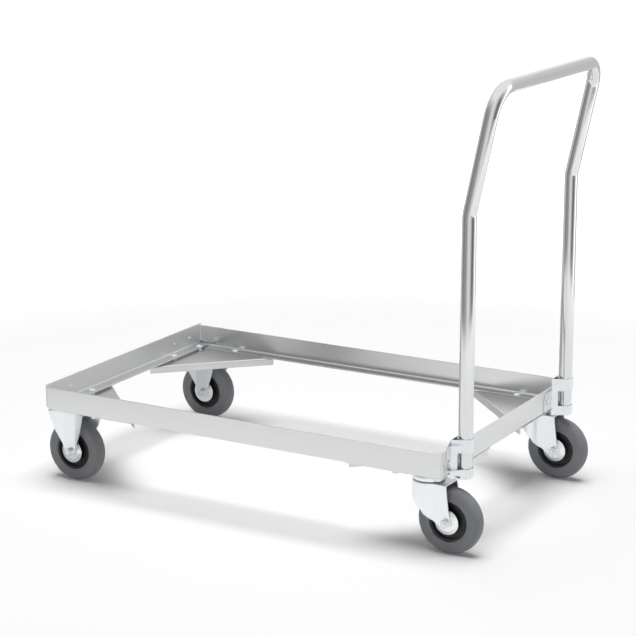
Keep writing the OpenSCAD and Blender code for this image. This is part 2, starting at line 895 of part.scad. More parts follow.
// Moulded rim: hub, web and the seat of the tyre
module rim(c) {
    seat_t = 5;
    color(rim_black)
        at_wheel(c)
            lathe_y() {
                translate([bore_r, -hub_half]) square([hub_d / 2 - bore_r, 2 * hub_half]);
                translate([bore_r, -web_w / 2]) square([rim_r - bore_r, web_w]);
                translate([rim_r - seat_t, -rim_w / 2]) square([seat_t, rim_w]);
            }
}

// Roller bearing: a cage with its rollers, between the axle tube and the rim's bore
module bearing(c) {
    hub_end = 3;
    cage_end = 3;
    cage_gap = 0.4;
    pocket_gap = 0.1;
    cage_l = 2 * (hub_half - hub_end);
    roller_l = cage_l - 2 * cage_end;
    color(bright_steel)
        at_wheel(c)
            rotate([90, 0, 0]) {
                difference() {
                    cylinder(r = bore_r - cage_gap, h = cage_l, center = true);
                    cylinder(d = axle_tube_d + 2 * cage_gap, h = cage_l + 2 * cut, center = true);
                    roller_ring(roller_d + 2 * pocket_gap, roller_l + 2 * pocket_gap);
                }
                roller_ring(roller_d, roller_l);
            }
}

module roller_ring(d, h) {
    for (i = [0 : rollers - 1])
        rotate(i * 360 / rollers)
            translate([roller_r, 0, 0])
                cylinder(d = d, h = h, center = true, $fn = 24);
}

module axle_tube(c) {
    color(bright_steel)
        at_wheel(c)
            rotate([90, 0, 0])
                linear_extrude(2 * tube_half, center = true)
                    difference() {
                        circle(d = axle_tube_d);
                        circle(d = axle_d);
                    }
}

// Pressed discs between the fork legs and the hub
module guards(c) {
    flat_r = hub_d / 2 + hub_gap;
    dish = 3.5;
    color(zinc)
        at_wheel(c)
            for (m = [0, 1])
                mirror([0, m, 0])
                    lathe_y()
                        polygon([[axle_d / 2, tube_half], [axle_d / 2, fork_half], [flat_r, fork_half],
                                 [guard_d / 2, fork_half - dish], [guard_d / 2, fork_half - dish - guard_t],
                                 [flat_r, tube_half]]);
}

module axle_bolt(c) {
    tail = 2.5;
    leg_out = fork_half + fork_t;
    color(bright_steel)
        at_wheel(c)
            rotate([-90, 0, 0]) {
                translate([0, 0, leg_out]) linear_extrude(axle_nut_h) hexagon(axle_af);
                translate([0, 0, -leg_out - axle_nut_h - tail])
                    cylinder(d = axle_d, h = 2 * leg_out + axle_nut_h + tail);
            }
}

module axle_nut(c) {
    color(bright_steel)
        at_wheel(c)
            rotate([90, 0, 0])
                translate([0, 0, fork_half + fork_t])
                    nut(axle_af, axle_d, axle_nut_h);
}

front_left = corners[0];
front_right = corners[1];
rear_left = corners[2];
rear_right = corners[3];

side_rail(-1);  // left_rail
side_rail(1);  // right_rail
end_rail(-1);  // front_rail
end_rail(1);  // rear_rail
corner_welds();
gusset(front_left);  // front_left_gusset
gusset(front_right);  // front_right_gusset
gusset(rear_left);  // rear_left_gusset
gusset(rear_right);  // rear_right_gusset
frame_bolts();
frame_nuts();
flange_spacers();
handle_socket(-1);  // left_handle_socket
handle_socket(1);  // right_handle_socket
socket_screws();
socket_nuts();
handle();
fixed_fork(front_left);  // front_left_fork
fixed_fork(front_right);  // front_right_fork
swivel_fork(rear_left);  // rear_left_fork
swivel_fork(rear_right);  // rear_right_fork
bowl(rear_left);  // rear_left_bowl
bowl(rear_right);  // rear_right_bowl
kingpin(rear_left);  // rear_left_kingpin
kingpin(rear_right);  // rear_right_kingpin
ball_races(rear_left);  // rear_left_balls
ball_races(rear_right);  // rear_right_balls
tyre(front_left);  // front_left_tyre
tyre(front_right);  // front_right_tyre
tyre(rear_left);  // rear_left_tyre
tyre(rear_right);  // rear_right_tyre
rim(front_left);  // front_left_rim
rim(front_right);  // front_right_rim
rim(rear_left);  // rear_left_rim
rim(rear_right);  // rear_right_rim
bearing(front_left);  // front_left_bearing
bearing(front_right);  // front_right_bearing
bearing(rear_left);  // rear_left_bearing
bearing(rear_right);  // rear_right_bearing
axle_tube(front_left);  // front_left_axle_tube
axle_tube(front_right);  // front_right_axle_tube
axle_tube(rear_left);  // rear_left_axle_tube
axle_tube(rear_right);  // rear_right_axle_tube
guards(front_left);  // front_left_guards
guards(front_right);  // front_right_guards
guards(rear_left);  // rear_left_guards
guards(rear_right);  // rear_right_guards
axle_bolt(front_left);  // front_left_axle_bolt
axle_bolt(front_right);  // front_right_axle_bolt
axle_bolt(rear_left);  // rear_left_axle_bolt
axle_bolt(rear_right);  // rear_right_axle_bolt
axle_nut(front_left);  // front_left_axle_nut
axle_nut(front_right);  // front_right_axle_nut
axle_nut(rear_left);  // rear_left_axle_nut
axle_nut(rear_right);  // rear_right_axle_nut
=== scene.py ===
import math

import bmesh
import bpy
from mathutils import Matrix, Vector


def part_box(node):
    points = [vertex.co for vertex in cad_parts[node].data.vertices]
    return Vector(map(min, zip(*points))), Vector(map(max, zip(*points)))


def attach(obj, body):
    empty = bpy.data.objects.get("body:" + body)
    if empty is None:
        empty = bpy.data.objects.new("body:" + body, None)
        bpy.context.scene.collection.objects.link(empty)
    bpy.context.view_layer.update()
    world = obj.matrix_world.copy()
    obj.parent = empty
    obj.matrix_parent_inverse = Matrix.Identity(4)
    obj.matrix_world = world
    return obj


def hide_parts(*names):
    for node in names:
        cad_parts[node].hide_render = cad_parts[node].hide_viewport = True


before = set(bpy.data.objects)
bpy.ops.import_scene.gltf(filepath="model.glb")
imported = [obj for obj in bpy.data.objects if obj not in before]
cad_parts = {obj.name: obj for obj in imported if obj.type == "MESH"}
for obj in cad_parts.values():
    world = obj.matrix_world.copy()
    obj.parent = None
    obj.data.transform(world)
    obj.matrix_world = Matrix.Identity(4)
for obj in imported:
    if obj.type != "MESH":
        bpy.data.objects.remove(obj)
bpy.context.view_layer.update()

scene = bpy.context.scene

# Camera: it stands where the photograph was taken, off the near rail, past the handle end
# and half a metre above the grip. Its small shift keeps upright lines nearly upright.
PHOTO_SIDE = 636
FOCAL_PIXELS = 2079.6
SENSOR = 36
VIEW_FROM = (2.0617, -3.6195, 1.4218)
VIEW_YAW = 0.5196
VIEW_PITCH = 0.2368
VIEW_SHIFT = -0.05
VIEW_REACH = 100

camera = bpy.data.objects.new("camera", bpy.data.cameras.new("camera"))
camera.location = VIEW_FROM
camera.rotation_euler = (math.pi / 2 - VIEW_PITCH, 0, VIEW_YAW)
camera.data.sensor_width = SENSOR
camera.data.lens = FOCAL_PIXELS * SENSOR / PHOTO_SIDE
camera.data.shift_y = VIEW_SHIFT
camera.data.clip_end = VIEW_REACH
scene.collection.objects.link(camera)
scene.camera = camera
scene.view_settings.view_transform = "Standard"

# Studio: a white floor that keeps the shadows, one broad soft lamp straight above, and
# cards that only reflections see, as they give bright metal its dark and light lines.
WHITE = (1, 1, 1, 1)
SKY_LIGHT, SKY_SHOWN = 0.12, 1.0
FLOOR_PALE = (0.82, 0.82, 0.82, 1)
FLOOR_HALF = 30
GLOW_FROM, GLOW_TO = 1.3, 3.6
NEAR_GLOW, FAR_GLOW = 0.09, 1.0


def fill(tree, sockets, values):
    """Sets or links input sockets. A node stands for its first output."""
    for key, value in dict(values).items():
        if isinstance(value, bpy.types.Node):
            value = value.outputs[0]
        if isinstance(value, bpy.types.NodeSocket):
            tree.links.new(value, sockets[key])
        else:
            sockets[key].default_value = value


def put(tree, kind, values=(), **settings):
    """Adds a node with its settings and with values for its inputs, by name or number."""
    node = tree.nodes.new(kind)
    for name, setting in settings.items():
        setattr(node, name, setting)
    fill(tree, node.inputs, values)
    return node


def maths(tree, operation, *values):
    return put(tree, "ShaderNodeMath", dict(enumerate(values)), operation=operation)


def spot(tree):
    """Where a point of the object is, which is also its place in the room."""
    return put(tree, "ShaderNodeTexCoord").outputs["Object"]


def ramp(tree, value, start, end, low, high, kind="SMOOTHSTEP"):
    """Passes from low, at a value of start, to high, at a value of end."""
    return put(tree, "ShaderNodeMapRange", {
        "Value": value, "From Min": start, "From Max": end, "To Min": low, "To Max": high},
        interpolation_type=kind)


def by_ray(tree, for_light, for_eyes):
    """One shader for the light that falls on things, and one for camera, gloss and glass."""
    rays = put(tree, "ShaderNodeLightPath").outputs
    seen = maths(tree, "MAXIMUM", rays["Is Camera Ray"], rays["Is Glossy Ray"])
    seen = maths(tree, "MAXIMUM", seen, rays["Is Transmission Ray"])
    return put(tree, "ShaderNodeMixShader", {0: seen, 1: for_light, 2: for_eyes})


def empty_material(name):
    material = bpy.data.materials.new(name)
    material.use_nodes = True
    material.node_tree.nodes.clear()
    return material, material.node_tree


def mesh_of(name, points, edges=(), faces=()):
    mesh = bpy.data.meshes.new(name)
    mesh.from_pydata(points, edges, faces)
    return mesh


def sheet_mesh(name, x0, y0, x1, y1, z):
    return mesh_of(name, [(x0, y0, z), (x1, y0, z), (x1, y1, z), (x0, y1, z)], (), [(0, 1, 2, 3)])


def new_object(name, mesh, materials=()):
    obj = bpy.data.objects.new(name, mesh)
    for material in materials:
        mesh.materials.append(material)
    scene.collection.objects.link(obj)
    return obj


world = bpy.data.worlds.new("studio")
world.use_nodes = True
tree = world.node_tree
tree.nodes.clear()
lit, shown = [put(tree, "ShaderNodeBackground", {"Color": WHITE, "Strength": strength})
              for strength in (SKY_LIGHT, SKY_SHOWN)]
put(tree, "ShaderNodeOutputWorld", {"Surface": by_ray(tree, lit, shown)})
scene.world = world

# The floor shines by itself for the camera, little near the dolly and fully far away
floor_paint, tree = empty_material("floor_white")
matt = put(tree, "ShaderNodeBsdfDiffuse", {"Color": FLOOR_PALE})
away = put(tree, "ShaderNodeVectorMath", {0: spot(tree)}, operation="LENGTH").outputs["Value"]
rise = ramp(tree, away, GLOW_FROM, GLOW_TO, NEAR_GLOW, FAR_GLOW)
glow = put(tree, "ShaderNodeEmission", {"Color": WHITE, "Strength": rise})
lift = put(tree, "ShaderNodeAddShader", {0: matt, 1: glow})
put(tree, "ShaderNodeOutputMaterial", {"Surface": by_ray(tree, matt, lift)})
mesh = sheet_mesh("floor", -FLOOR_HALF, -FLOOR_HALF, FLOOR_HALF, FLOOR_HALF, 0)
new_object("floor", mesh, [floor_paint])

# The lamp hangs so high that its light is even
LAMP_HIGH = 9.0
LAMP_WIDE = math.radians(38)
LAMP_POWER = 900
lamp = bpy.data.lights.new("softbox", "AREA")
lamp.size = 2 * LAMP_HIGH * math.tan(LAMP_WIDE / 2)
lamp.energy = LAMP_POWER
softbox = bpy.data.objects.new("softbox", lamp)
softbox.location = (0, 0, LAMP_HIGH)
softbox.visible_glossy = False
scene.collection.objects.link(softbox)

# Cards that stand round the handle: each from and to in degrees, where 0 is towards the
# camera and more is to its right, and how light it is
CARDS = ((-162, -147, 0.76), (-147, -96, 0.64), (-96, -62, 0.28), (-62, -30, 0.36),
         (-30, -14, 0.64), (-14, 18, 0.84), (18, 34, 0.50), (34, 68, 0.19), (68, 88, 0.66),
         (88, 112, 1.6), (112, 160, 0.64))
CARD_X, CARD_Y = 0.45, 0
CARD_FAR = 1.8
CARD_LOW, CARD_TALL = 0.004, 3.2
CARD_STEPS = 8
FADE_FROM, FADE_TO = 0.9, 3.1


def fading(tree, light):
    """A card's light, which grows towards the sky's white above the handle."""
    above = put(tree, "ShaderNodeSeparateXYZ", {0: spot(tree)}).outputs["Z"]
    return ramp(tree, above, FADE_FROM, FADE_TO, light, SKY_SHOWN)


def card(name, mesh, light, tone=fading):
    """A sheet that only reflections see. tone says how its light changes over it."""
    paint, tree = empty_material(name)
    glow = put(tree, "ShaderNodeEmission", {"Color": WHITE, "Strength": tone(tree, light)})
    put(tree, "ShaderNodeOutputMaterial", {"Surface": glow})
    sheet = new_object(name, mesh, [paint])
    sheet.visible_camera = sheet.visible_diffuse = False
    sheet.visible_shadow = sheet.visible_transmission = False


to_camera = math.atan2(VIEW_FROM[1] - CARD_Y, VIEW_FROM[0] - CARD_X)
for number, (start, end, light) in enumerate(CARDS):
    turns = [to_camera + math.radians(start + (end - start) * i / CARD_STEPS)
             for i in range(CARD_STEPS + 1)]
    points = [(CARD_X + CARD_FAR * math.cos(turn), CARD_Y + CARD_FAR * math.sin(turn), z)
              for turn in turns for z in (CARD_LOW, CARD_TALL)]
    faces = [(2 * i, 2 * i + 1, 2 * i + 3, 2 * i + 2) for i in range(CARD_STEPS)]
    card(f"card_{number}", mesh_of("card", points, (), faces), light)

# Cards on the floor that shade the rails: the near one lightens the outer face, the middle
# one grows lighter towards the rear, and the far one is darker all over
FLOOR_CARD_Z = 0.002
FLOOR_CARD_FRONT, FLOOR_CARD_REAR = -1.3, 0.30
TONE_FROM, TONE_TO, TONE_DARK = -0.42, 0.05, 0.46


def towards_rear(tree, light):
    along = put(tree, "ShaderNodeSeparateXYZ", {0: spot(tree)}).outputs["X"]
    return ramp(tree, along, TONE_FROM, TONE_TO, TONE_DARK, light, "LINEAR")


for name, near_y, far_y, rear_x, light, tone in (
        ("near", -1.25, -0.42, FLOOR_CARD_REAR, 0.98, fading),
        ("middle", -0.42, 0.06, FLOOR_CARD_REAR, 1.0, towards_rear),
        ("far", 0.06, 1.3, 0.10, 0.55, fading)):
    mesh = sheet_mesh(name, FLOOR_CARD_FRONT, near_y, rear_x, far_y, FLOOR_CARD_Z)
    card(f"floor_card_{name}", mesh, light, tone)

# Rails: four lengths of galvanised angle steel, flange inwards. The end rails lie 4.5 mm
# higher, their walls cover the side rails' ends, and all sawn edges are eased.
FLOAT = "NodeSocketFloat"
VECTOR = "NodeSocketVector"


def group(name, inputs, outputs, kind="ShaderNodeTree"):
    """A node group with named inputs and outputs: the tree, what it is given, what it gives."""
    tree = bpy.data.node_groups.new(name, kind)
    for label, socket, value in inputs:
        made = tree.interface.new_socket(label, in_out="INPUT", socket_type=socket)
        if value is not None:
            made.default_value = value
    for label, socket in outputs:
        tree.interface.new_socket(label, in_out="OUTPUT", socket_type=socket)
    given, gives = tree.nodes.new("NodeGroupInput"), tree.nodes.new("NodeGroupOutput")
    return tree, given.outputs, gives.inputs


def noise(tree, place, size, detail, roughness=0.5):
    return put(tree, "ShaderNodeTexNoise", {"Vector": place, "Scale": size, "Detail": detail,
               "Roughness": roughness}).outputs["Fac"]


def swing(tree, pattern, amount):
    """A pattern's change to both sides of nothing."""
    return maths(tree, "MULTIPLY", maths(tree, "SUBTRACT", pattern, 0.5), amount)


# Grain of rolled and drawn metal: long streaks, slow clouds and a fine tooth
METAL_TOOTH = 0.0004
MARKS = (("Shade", FLOAT), ("Roughness", FLOAT), ("Height", FLOAT))
metal_grain, given, gives = group("metal_grain", (
    ("Vector", VECTOR, (0, 0, 0)), ("Streak Size", FLOAT, 900.0), ("Cloud Size", FLOAT, 14.0),
    ("Streak Amount", FLOAT, 0.1), ("Cloud Amount", FLOAT, 0.1), ("Roughness", FLOAT, 0.35)), MARKS)
streaks = noise(metal_grain, given["Vector"], given["Streak Size"], 3.0, 0.6)
clouds = noise(metal_grain, given["Vector"], given["Cloud Size"], 2.0)
change = maths(metal_grain, "ADD", swing(metal_grain, streaks, given["Streak Amount"]),
               swing(metal_grain, clouds, given["Cloud Amount"]))
gloss = maths(metal_grain, "MULTIPLY", change, -0.5)
fill(metal_grain, gives, {
    "Shade": maths(metal_grain, "ADD", 1.0, change),
    "Roughness": maths(metal_grain, "ADD", given["Roughness"], gloss), "Height": streaks})


def surface(tree, marks, colour, tooth, tooth_high, own):
    """Ends a material: a group's marks on one shader, whose own plain values are in own."""
    tint = put(tree, "ShaderNodeVectorMath", {0: colour, "Scale": marks["Shade"]},
               operation="SCALE")
    bump = put(tree, "ShaderNodeBump", {
        "Height": marks["Height"], "Strength": tooth, "Distance": tooth_high})
    shader = put(tree, "ShaderNodeBsdfPrincipled", {
        "Base Color": tint, "Roughness": marks["Roughness"], "Normal": bump, **own})
    put(tree, "ShaderNodeOutputMaterial", {"Surface": shader})


def metal(name, colour, roughness, grain=(1, 1, 1), streak=0.1, cloud=0.1, streak_size=900.0,
          cloud_size=14.0, tooth=0.05, attribute=None):
    """Bare or plated steel. Its streaks run along the axis that grain makes short."""
    material, tree = empty_material(name)
    if attribute:
        place = put(tree, "ShaderNodeAttribute", attribute_name=attribute).outputs["Vector"]
    else:
        place = spot(tree)
    laid = put(tree, "ShaderNodeMapping", {"Vector": place, "Scale": grain})
    marks = put(tree, "ShaderNodeGroup", {
        "Vector": laid, "Streak Size": streak_size, "Cloud Size": cloud_size,
        "Streak Amount": streak, "Cloud Amount": cloud, "Roughness": roughness},
        node_tree=metal_grain).outputs
    surface(tree, marks, colour, tooth, METAL_TOOTH, {"Metallic": 1.0})
    return material


# Edges that turn more than EASED are rounded off, those under CREASE are parts of curves,
# and a bend turns more than BEND
EASED = math.radians(30)
CREASE = math.radians(12)
BEND = math.radians(20)
FLAT = math.radians(0.3)
MERGE = 2e-6
CUT_EASE = 0.0005


def written(work, name):
    """The worked mesh as a new one."""
    mesh = bpy.data.meshes.new(name)
    work.to_mesh(mesh)
    work.free()
    return mesh


def settle(obj):
    """Turns what the modifiers make into the object's own plain mesh."""
    made = bpy.data.meshes.new_from_object(
        obj.evaluated_get(bpy.context.evaluated_depsgraph_get()))
    obj.modifiers.clear()
    obj.data = made
    obj.data.name = obj.name


def round_edges(obj, width, angle=EASED):
    """Rounds the sharp edges off, and keeps large faces flat in their shading."""
    bevel = obj.modifiers.new("ease", "BEVEL")
    bevel.width = width
    bevel.segments = 2
    bevel.limit_method = "ANGLE"
    bevel.angle_limit = angle
    bevel.use_clamp_overlap = False
    weighted = obj.modifiers.new("flat_faces", "WEIGHTED_NORMAL")
    weighted.mode = "FACE_AREA"
    weighted.weight = 100
    weighted.keep_sharp = True
    settle(obj)


def belongs(piece, body, node):
    """Says which body a piece rides on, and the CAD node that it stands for."""
    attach(piece, body)
    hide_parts(node)


def finished(node, name, body, material, ease, is_bend=None, bend_r=0.0, shape=None):
    """A CAD node's solid with eased edges, as a piece that stays within the node's box.

    is_bend takes an edge's two ends and says whether it is a bend, which is rounded to
    bend_r first. shape is called with the mesh before its edges are worked.
    """
    work = bmesh.new()
    work.from_mesh(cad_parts[node].data)
    bmesh.ops.remove_doubles(work, verts=work.verts, dist=MERGE)
    bmesh.ops.dissolve_limit(work, angle_limit=FLAT, verts=work.verts, edges=work.edges)
    if shape:
        shape(work)
    bends = [e for e in work.edges if is_bend and is_bend(e.verts[0].co, e.verts[1].co)
             and len(e.link_faces) == 2 and e.calc_face_angle(0) > BEND]
    if bends:
        bmesh.ops.bevel(work, geom=bends, offset=bend_r, offset_type="OFFSET", segments=5,
                        profile=0.5, affect="EDGES", clamp_overlap=False)
    for edge in work.edges:
        edge.smooth = len(edge.link_faces) < 2 or not CREASE < edge.calc_face_angle(0) < EASED
    for face in work.faces:
        face.smooth = True
    piece = new_object(name, written(work, name), [material])
    round_edges(piece, ease)
    low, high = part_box(node)
    for vertex in piece.data.vertices:
        vertex.co = [min(max(at, least), most) for at, least, most in zip(vertex.co, low, high)]
    belongs(piece, body, node)


GALVANISED = (0.73, 0.735, 0.74)
side_steel = metal("galvanised_side_rails", GALVANISED, 0.25, (0.02, 1, 1), cloud=0.06)
end_steel = metal("galvanised_end_rails", GALVANISED, 0.33, (1, 0.02, 1), cloud=0.06)
for side in ("left", "right"):
    finished(f"{side}_rail", f"{side}_side_angle", "frame", side_steel, CUT_EASE)
for end in ("front", "rear"):
    finished(f"{end}_rail", f"{end}_end_angle", "frame", end_steel, CUT_EASE)

# Corner welds: one upright bead down each inside corner, laid in small overlapping drops
# that keep the frame's bright zinc colour.
GEOMETRY = "NodeSocketGeometry"
OBJECT = "NodeSocketObject"
MATERIAL = "NodeSocketMaterial"
INTEGER = "NodeSocketInt"
BEAD_R = 0.0031
BEAD_IN = 0.0006
DROP_LEAST = 0.93


def geometry_tree(name, inputs):
    return group(name, inputs, (("Geometry", GEOMETRY),), "GeometryNodeTree")


def end_tree(tree, given, gives, shape):
    """Ends a geometry tree: its shape as real, smooth meshes in the material that is given."""
    real = put(tree, "GeometryNodeRealizeInstances", {0: shape})
    smooth = put(tree, "GeometryNodeSetShadeSmooth", {0: real})
    painted = put(tree, "GeometryNodeSetMaterial", {0: smooth, "Material": given["Material"]})
    fill(tree, gives, {0: painted})


def grown(tree, name, values, mesh=None):
    """An object with the mesh that a geometry tree makes from these values."""
    obj = new_object(name, mesh or bpy.data.meshes.new(name))
    maker = obj.modifiers.new("make", "NODES")
    maker.node_group = tree
    for item in tree.interface.items_tree:
        if item.in_out == "INPUT" and item.name in values:
            maker[item.identifier] = values[item.name]
    settle(obj)
    return obj


def joined(name, objects):
    """One object of several, all of them at the origin."""
    whole = bmesh.new()
    materials = []
    for obj in objects:
        whole.from_mesh(obj.data)
        materials += [each for each in obj.data.materials if each not in materials]
        bpy.data.objects.remove(obj)
    return new_object(name, written(whole, name), materials)


bead_tree, given, gives = geometry_tree("weld_bead", (
    ("Foot", VECTOR, (0, 0, 0)), ("Height", FLOAT, 0.036), ("Drop Radius", FLOAT, BEAD_R),
    ("Drop Pitch", FLOAT, 0.0013), ("Seed", INTEGER, 1), ("Material", MATERIAL, None)))
top = put(bead_tree, "ShaderNodeCombineXYZ", {"Z": given["Height"]})
line = put(bead_tree, "GeometryNodeCurvePrimitiveLine", {"End": top})
drops = put(bead_tree, "GeometryNodeCurveToPoints", {"Curve": line, "Length": given["Drop Pitch"]},
            mode="LENGTH")
drop = put(bead_tree, "GeometryNodeMeshUVSphere", {
    "Segments": 16, "Rings": 10, "Radius": given["Drop Radius"]})
flat = put(bead_tree, "GeometryNodeTransform", {"Geometry": drop, "Scale": (1, 1, 0.5)})
size = put(bead_tree, "FunctionNodeRandomValue", {2: DROP_LEAST, 3: 1.0, "Seed": given["Seed"]},
           data_type="FLOAT").outputs[1]
laid = put(bead_tree, "GeometryNodeInstanceOnPoints", {
    "Points": drops, "Instance": flat, "Scale": size})
moved = put(bead_tree, "GeometryNodeTransform", {"Geometry": laid, "Translation": given["Foot"]})
end_tree(bead_tree, given, gives, moved)

weld_steel = metal("galvanised_welds", (0.74, 0.745, 0.75), 0.3, streak=0.05, cloud=0.15)
low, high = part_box("corner_welds")
feet = [(x, y) for x in (low.x + BEAD_IN, high.x - BEAD_IN)
        for y in (low.y + BEAD_IN, high.y - BEAD_IN)]
beads = [grown(bead_tree, f"weld_{number}", {
    "Foot": (x, y, low.z + BEAD_R / 2), "Height": high.z - low.z - BEAD_R,
    "Drop Radius": BEAD_R, "Seed": number, "Material": weld_steel})
    for number, (x, y) in enumerate(feet, 1)]
belongs(joined("corner_weld_beads", beads), "frame", "corner_welds")

# Gussets: four triangles of galvanised sheet under the flanges. They tie the corners,
# carry the castors, and have a turned-down edge along the diagonal.
CASTORS = [f"{end}_{side}" for end in ("front", "rear") for side in ("left", "right")]
gusset_steel = metal("galvanised_gussets", GALVANISED, 0.33, (0.03, 1, 1), streak=0.12, cloud=0.08)
for castor in CASTORS:
    finished(f"{castor}_gusset", f"{castor}_corner_plate", "frame", gusset_steel,
             CUT_EASE)

# Fixed forks: zinc plated sheet, bent to a top and two legs. The wings beside each leg's
# flat strip stand away from the wheel. The forks are bolted under the front gussets.
PRESSED_EASE = 0.0006
STRIP_HALF, STRIP_NEAR = 0.014, 0.0009
TOP_EDGE = 0.008
FOLD_R = 0.0016
NEAR = 1e-5
fork_zinc = metal("zinc_forks", (0.89, 0.915, 0.94), 0.3, (1, 1, 0.1), streak=0.05, cloud=0.12,
                  streak_size=500.0, cloud_size=9.0)


def middle(node):
    """The middle of a CAD node's box."""
    low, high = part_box(node)
    return (low + high) / 2


def at_height(z, *ends):
    """Whether an edge's ends lie at this height."""
    return all(abs(end.z - z) < NEAR for end in ends)


def is_fold(a, b):
    """An upright edge beside a leg's flat strip, or one where the top turns down into a leg."""
    upright = abs(a.x - b.x) < NEAR and abs(a.y - b.y) < NEAR
    beside_strip = abs(abs(a.x - middle_x) - STRIP_HALF) < STRIP_NEAR
    return upright and beside_strip or at_height(top_z, a, b) and abs(a.x - b.x) > TOP_EDGE


for castor in ("front_left", "front_right"):
    middle_x, top_z = middle(f"{castor}_fork").x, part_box(f"{castor}_fork")[1].z
    finished(f"{castor}_fork", f"{castor}_fixed_fork", "frame", fork_zinc, PRESSED_EASE,
             is_fold, FOLD_R)

# Swivel forks: the same sheet, pressed to a round head over two trailing legs. The top's
# rim has the press's bending radius, and the legs' lower front edges are cut to a belly.
RIM_BEND_R = 0.0022
CHIN_X, CHIN_Z = -0.0698, 0.0368
EYE_X, EYE_Z = -0.0079, -0.0103
BELLY = 0.0038
BELLY_LEAN = 0.8
BELLY_CUTS = 15
EDGE_NEAR, EDGE_OVER, EDGE_LEAST = 0.0004, 0.001, 0.004


def along_edge(point, axle):
    """How far along a leg's straight front edge a point is, from chin to axle eye, or None."""
    x, z = point.x - axle.x, point.z - axle.z
    along = (x - CHIN_X) / (EYE_X - CHIN_X)
    off = abs(z - CHIN_Z - (EYE_Z - CHIN_Z) * along)
    return along if off < EDGE_NEAR and -EDGE_OVER < along < 1 + EDGE_OVER else None


def bow(work, axle):
    """Bows the straight front edge of each leg downwards."""
    edges = [e for e in work.edges if abs(e.verts[0].co.x - e.verts[1].co.x) > EDGE_LEAST
             and all(along_edge(vertex.co, axle) is not None for vertex in e.verts)]
    bmesh.ops.subdivide_edges(work, edges=edges, cuts=BELLY_CUTS, use_grid_fill=True)
    for vertex in work.verts:
        along = along_edge(vertex.co, axle)
        if along is not None:
            lean = min(max(along, 0), 1) ** BELLY_LEAN
            vertex.co.z -= BELLY * math.sin(math.pi * lean)


for castor in ("rear_left", "rear_right"):
    top_z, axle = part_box(f"{castor}_fork")[1].z, middle(f"{castor}_tyre")
    finished(f"{castor}_fork", f"{castor}_swivel_fork", f"{castor}_swivel", fork_zinc,
             PRESSED_EASE, lambda a, b: at_height(top_z, a, b), RIM_BEND_R,
             lambda work: bow(work, axle))

# Frame bolts, nuts and spacers: domed bolts through rail and gusset, nuts with eased
# corners below, and rings where the end rails stand higher.
ROUND_STEPS = 48
THREAD_PITCH = 0.00125
THREAD_DEEP = 0.0006
BOLT_END = 0.0008
HEAD_EDGE, HEAD_UNDER, HEAD_NECK = 0.0003, 0.0004, 0.0002
DOME_STEPS = 10
NUT_FACE = 0.95
NUT_SLOPE = math.radians(28)
NUT_BITE = 0.0002
WALL = 0.003
BOLT_D, HEAD_D, HEAD_H = 0.008, 0.019, 0.0045
NUT_WIDE, NUT_H = 0.013, 0.0065
BOLT_TAIL = 0.0015
THREAD_OVER = 0.002
# Where the bolts stand, along and across the dolly from the frame's outer corner
FRONT_CORNER, REAR_CORNER = (0.022, 0.039), (0.016, 0.014)
SIDE_BOLT, END_BOLT = (0.107, 0.018), (0.017, 0.137)


def skinned(name, rings, sharp, closed=False):
    """A smooth mesh over rings of points. A ring of one point closes an end."""
    work = bmesh.new()
    rings = [[work.verts.new(point) for point in ring] for ring in rings]
    for low, high in zip(rings, rings[1:] + rings[:closed]):
        steps = max(len(low), len(high))
        for i in range(steps):
            j = (i + 1) % steps
            corners = (low[i % len(low)], low[j % len(low)],
                       high[j % len(high)], high[i % len(high)])
            work.faces.new(list(dict.fromkeys(corners)))
    bmesh.ops.recalc_face_normals(work, faces=work.faces)
    mesh = written(work, name)
    mesh.shade_smooth()
    mesh.set_sharp_from_angle(angle=math.radians(sharp))
    return mesh


def ring_of(radius, height, steps):
    if radius < 1e-7:
        return [(0, 0, height)]
    turns = [2 * math.pi * i / steps for i in range(steps)]
    return [(radius * math.cos(turn), radius * math.sin(turn), height) for turn in turns]


def turned(name, profile, steps=ROUND_STEPS, sharp=35, closed=False):
    """A shape turned about Z from (radius, height) pairs."""
    return skinned(name, [ring_of(*pair, steps) for pair in profile], sharp, closed)


def arc(x, y, radius, start, end, steps):
    """Points round (x, y), from start to end degrees."""
    turns = [math.radians(start + (end - start) * i / steps) for i in range(steps + 1)]
    return [(x + radius * math.cos(turn), y + radius * math.sin(turn)) for turn in turns]


def bolt(name, head_d, head_h, shank_d, length, thread):
    """A domed head on z = 0, its shank down to -length with a chamfered, threaded end."""
    ball = ((head_d / 2) ** 2 + head_h ** 2) / (2 * head_h)
    low = math.degrees(math.asin(1 - head_h / ball))
    dome = arc(0, head_h - ball, ball, 90, low, DOME_STEPS)
    shank = shank_d / 2
    z = BOLT_END - length
    profile = [(0, -length), (shank - BOLT_END, -length), (shank, z)]
    while z < thread - length:
        profile += [(shank - THREAD_DEEP, z + THREAD_PITCH / 2), (shank, z + THREAD_PITCH)]
        z += THREAD_PITCH
    profile += [(shank, -HEAD_NECK), (head_d / 2 - HEAD_UNDER, 0), (head_d / 2, HEAD_EDGE)]
    return turned(name, profile + [pair for pair in reversed(dome) if pair[1] > HEAD_EDGE])


def hexagon(name, across, height, bore):
    """A nut or a bored head from z = 0 to height, its corners turned off at both ends."""
    inner = across / 2 * NUT_FACE
    rings = [[] for _ in range(6)]
    for i in range(ROUND_STEPS):
        turn = 2 * math.pi * i / ROUND_STEPS
        outer = across / 2 / math.cos((turn + math.pi / 6) % (math.pi / 3) - math.pi / 6)
        drop = (outer - inner) * math.tan(NUT_SLOPE)
        side = ((bore / 2, 0), (inner, 0), (outer, drop), (outer, height - drop),
                (inner, height), (bore / 2, height))
        for ring, (radius, z) in zip(rings, side):
            ring.append((radius * math.cos(turn), radius * math.sin(turn), z))
    return skinned(name, rings, sharp=18, closed=True)


